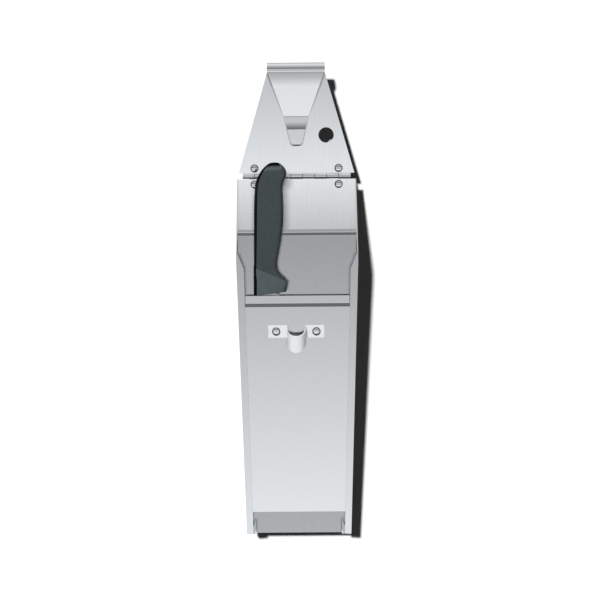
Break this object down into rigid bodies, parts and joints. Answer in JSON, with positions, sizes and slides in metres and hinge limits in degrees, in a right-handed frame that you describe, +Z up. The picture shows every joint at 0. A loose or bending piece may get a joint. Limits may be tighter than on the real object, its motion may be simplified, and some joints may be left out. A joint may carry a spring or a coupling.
{
  "type": "belt knife scabbard",
  "caption": "Flat steel scabbard hung from a belt by a hinged folded hook plate, with a rear pocket, a front pocket holding a boning knife and a strap loop for a sharpening steel.",
  "frame": {"origin": "the seat of the belt: the middle of the inside of the fold that hooks over the belt", "axes": "+Z up when worn, +Y towards the wearer, so the open pockets and the knife face -Y, and +X to the right in the front view"},
  "size_m": [0.119, 0.0523, 0.4687],
  "materials": {
    "sheet_steel": "polished",
    "hinge_steel": "polished",
    "rivet_steel": "polished",
    "bracket_steel": "satin",
    "blade_steel": "satin",
    "grip_plastic": "fine texture"
  },
  "bodies": {
    "hanger": {"belt_plate": "sheet_steel", "upper_hinge_leaf": "hinge_steel", "hinge_pin": "hinge_steel", "upper_hinge_rivets": "rivet_steel"},
    "scabbard": {"scabbard_shell": "sheet_steel", "lower_hinge_leaf": "hinge_steel", "lower_hinge_rivets": "rivet_steel"},
    "insert": {"divider_panel": "sheet_steel", "front_panel": "sheet_steel", "steel_holder": "bracket_steel", "steel_holder_rivets": "rivet_steel"},
    "knife": {"knife_blade": "blade_steel", "knife_handle": "grip_plastic"}
  },
  "joints": [
    {"name": "belt_hinge", "type": "hinge", "parent": "hanger", "child": "scabbard", "pos_m": [0, 0.0079, -0.1113], "axis": [-1, 0, 0], "range_deg": [-75, 14]},
    {"name": "insert_lift", "type": "slide", "parent": "scabbard", "child": "insert", "axis": [0, -0.0997, 0.995], "range_m": [0, 0.15]},
    {"name": "knife_draw", "type": "slide", "parent": "insert", "child": "knife", "axis": [0, -0.1097, 0.994], "range_m": [0, 0.17]}
  ]
}
